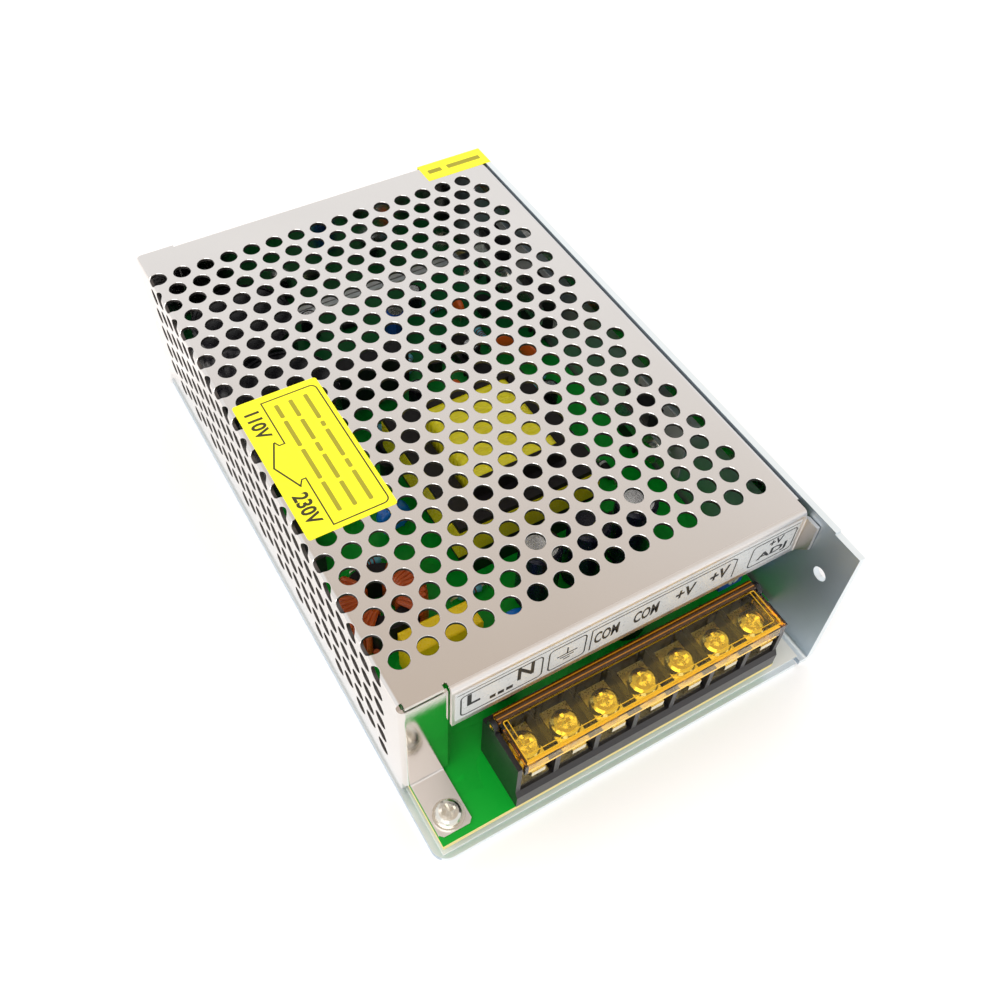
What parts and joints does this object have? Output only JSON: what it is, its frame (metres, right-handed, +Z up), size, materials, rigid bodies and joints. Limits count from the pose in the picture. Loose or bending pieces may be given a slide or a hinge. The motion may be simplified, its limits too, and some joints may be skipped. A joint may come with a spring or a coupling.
{
  "type": "led power supply",
  "caption": "Flat enclosed switching power supply: perforated metal cover on an L-shaped chassis, with a screw terminal strip under a flip-up lid.",
  "frame": {"origin": "bottom centre of the case, on the surface it stands on", "axes": "+X to the right as seen from the terminal end, +Y from the terminal end to the back, +Z up through the cover"},
  "size_m": [0.099, 0.159, 0.042],
  "materials": {
    "chassis_aluminium": "bare rolled sheet, satin",
    "cover_steel": "plated sheet, satin",
    "screw_steel": "zinc plated",
    "insulation": "milky sheet",
    "brass_parts": "turned",
    "board_green": "solder resist over glass cloth",
    "terminal_black": "moulded",
    "tinned_plate": "tinned",
    "lid_amber": "clear moulding",
    "trimmer_blue": "moulded",
    "trimmer_white": "moulded",
    "led_green": "clear lens",
    "switch_black": "moulded",
    "switch_red": "moulded",
    "ferrite": "ground ferrite",
    "bobbin_black": "moulded",
    "winding_yellow": "polyester tape over wire",
    "tape_yellow": "polyester tape",
    "sleeve_black": "shrunk sleeve",
    "sleeve_blue": "shrunk sleeve",
    "film_yellow": "moulded box",
    "disc_blue": "dipped",
    "thermistor_dark": "dipped",
    "fuse_glass": "glass with metal caps",
    "copper_wire": "enamelled wire",
    "epoxy_black": "moulded",
    "clamp_steel": "plated",
    "pad_grey": "silicone cloth",
    "label_yellow": "printed film",
    "strip_silver": "printed film"
  },
  "bodies": {
    "case": {"board_screws": "screw_steel", "board_standoffs": "brass_parts", "bridge_rectifier": "epoxy_black", "bulk_capacitor_1": "sleeve_black", "bulk_capacitor_2": "sleeve_black", "chassis": "chassis_aluminium", "circuit_board": "board_green", "clamp_screws": "screw_steel", "contact_plates": "tinned_plate", "controller_chip": "epoxy_black", "corner_sticker": "label_yellow", "cover": "cover_steel", "cover_side_screws": "screw_steel", "cover_tab_screw": "screw_steel", "fuse": "fuse_glass", "indicator_led": "led_green", "insulation_sheet": "insulation", "line_choke_core": "ferrite", "line_choke_windings": "copper_wire", "output_capacitor_1": "sleeve_blue", "output_capacitor_2": "sleeve_blue", "output_capacitor_3": "sleeve_blue", "output_choke": "sleeve_black", "output_rectifier": "epoxy_black", "power_transistor_1": "epoxy_black", "power_transistor_2": "epoxy_black", "rectifier_clamp": "clamp_steel", "selector_body": "switch_black", "start_capacitor": "sleeve_blue", "suppression_capacitor": "film_yellow", "terminal_housing": "terminal_black", "terminal_label": "strip_silver", "thermal_pads": "pad_grey", "thermistor": "thermistor_dark", "transformer_bobbin": "bobbin_black", "transformer_core": "ferrite", "transformer_tape": "tape_yellow", "transformer_winding": "winding_yellow", "transistor_clamp": "clamp_steel", "trimmer_body": "trimmer_blue", "voltage_label": "label_yellow", "y_capacitor_1": "disc_blue", "y_capacitor_2": "disc_blue"},
    "lid": {"terminal_lid": "lid_amber"},
    "trimmer": {"trimmer_rotor": "trimmer_white"},
    "selector": {"selector_slider": "switch_red"},
    "clamp_1": {"wire_clamp_1": "tinned_plate"},
    "screw_1": {"terminal_screw_1": "screw_steel"},
    "clamp_2": {"wire_clamp_2": "tinned_plate"},
    "screw_2": {"terminal_screw_2": "screw_steel"},
    "clamp_3": {"wire_clamp_3": "tinned_plate"},
    "screw_3": {"terminal_screw_3": "screw_steel"},
    "clamp_4": {"wire_clamp_4": "tinned_plate"},
    "screw_4": {"terminal_screw_4": "screw_steel"},
    "clamp_5": {"wire_clamp_5": "tinned_plate"},
    "screw_5": {"terminal_screw_5": "screw_steel"},
    "clamp_6": {"wire_clamp_6": "tinned_plate"},
    "screw_6": {"terminal_screw_6": "screw_steel"},
    "clamp_7": {"wire_clamp_7": "tinned_plate"},
    "screw_7": {"terminal_screw_7": "screw_steel"}
  },
  "joints": [
    {"name": "lid_hinge", "type": "hinge", "parent": "case", "child": "lid", "pos_m": [0.003, -0.067, 0.0227], "axis": [-1, 0, 0], "range_deg": [0, 90]},
    {"name": "trimmer_turn", "type": "hinge", "parent": "case", "child": "trimmer", "pos_m": [0.0415, -0.0546, 0.0097], "axis": [0, 1, 0], "range_deg": [-135, 135]},
    {"name": "selector_slide", "type": "slide", "parent": "case", "child": "selector", "axis": [0, 1, 0], "range_m": [0, 0.004]},
    {"name": "clamp_drop_1", "type": "slide", "parent": "case", "child": "clamp_1", "axis": [0, 0, -1], "range_m": [0, 0.0041]},
    {"name": "screw_turn_1", "type": "hinge", "parent": "clamp_1", "child": "screw_1", "pos_m": [-0.0261, -0.0722, 0.0178], "axis": [0, 0, -1], "range_deg": [0, 2460]},
    {"name": "clamp_drop_2", "type": "slide", "parent": "case", "child": "clamp_2", "axis": [0, 0, -1], "range_m": [0, 0.0041]},
    {"name": "screw_turn_2", "type": "hinge", "parent": "clamp_2", "child": "screw_2", "pos_m": [-0.0164, -0.0722, 0.0178], "axis": [0, 0, -1], "range_deg": [0, 2460]},
    {"name": "clamp_drop_3", "type": "slide", "parent": "case", "child": "clamp_3", "axis": [0, 0, -1], "range_m": [0, 0.0041]},
    {"name": "screw_turn_3", "type": "hinge", "parent": "clamp_3", "child": "screw_3", "pos_m": [-0.0067, -0.0722, 0.0178], "axis": [0, 0, -1], "range_deg": [0, 2460]},
    {"name": "clamp_drop_4", "type": "slide", "parent": "case", "child": "clamp_4", "axis": [0, 0, -1], "range_m": [0, 0.0041]},
    {"name": "screw_turn_4", "type": "hinge", "parent": "clamp_4", "child": "screw_4", "pos_m": [0.003, -0.0722, 0.0178], "axis": [0, 0, -1], "range_deg": [0, 2460]},
    {"name": "clamp_drop_5", "type": "slide", "parent": "case", "child": "clamp_5", "axis": [0, 0, -1], "range_m": [0, 0.0041]},
    {"name": "screw_turn_5", "type": "hinge", "parent": "clamp_5", "child": "screw_5", "pos_m": [0.0127, -0.0722, 0.0178], "axis": [0, 0, -1], "range_deg": [0, 2460]},
    {"name": "clamp_drop_6", "type": "slide", "parent": "case", "child": "clamp_6", "axis": [0, 0, -1], "range_m": [0, 0.0041]},
    {"name": "screw_turn_6", "type": "hinge", "parent": "clamp_6", "child": "screw_6", "pos_m": [0.0224, -0.0722, 0.0178], "axis": [0, 0, -1], "range_deg": [0, 2460]},
    {"name": "clamp_drop_7", "type": "slide", "parent": "case", "child": "clamp_7", "axis": [0, 0, -1], "range_m": [0, 0.0041]},
    {"name": "screw_turn_7", "type": "hinge", "parent": "clamp_7", "child": "screw_7", "pos_m": [0.0321, -0.0722, 0.0178], "axis": [0, 0, -1], "range_deg": [0, 2460]}
  ],
  "couplings": [
    {"joint": "screw_turn_1", "follows": "clamp_drop_1", "rad_per_m": 10472},
    {"joint": "screw_turn_2", "follows": "clamp_drop_2", "rad_per_m": 10472},
    {"joint": "screw_turn_3", "follows": "clamp_drop_3", "rad_per_m": 10472},
    {"joint": "screw_turn_4", "follows": "clamp_drop_4", "rad_per_m": 10472},
    {"joint": "screw_turn_5", "follows": "clamp_drop_5", "rad_per_m": 10472},
    {"joint": "screw_turn_6", "follows": "clamp_drop_6", "rad_per_m": 10472},
    {"joint": "screw_turn_7", "follows": "clamp_drop_7", "rad_per_m": 10472}
  ]
}
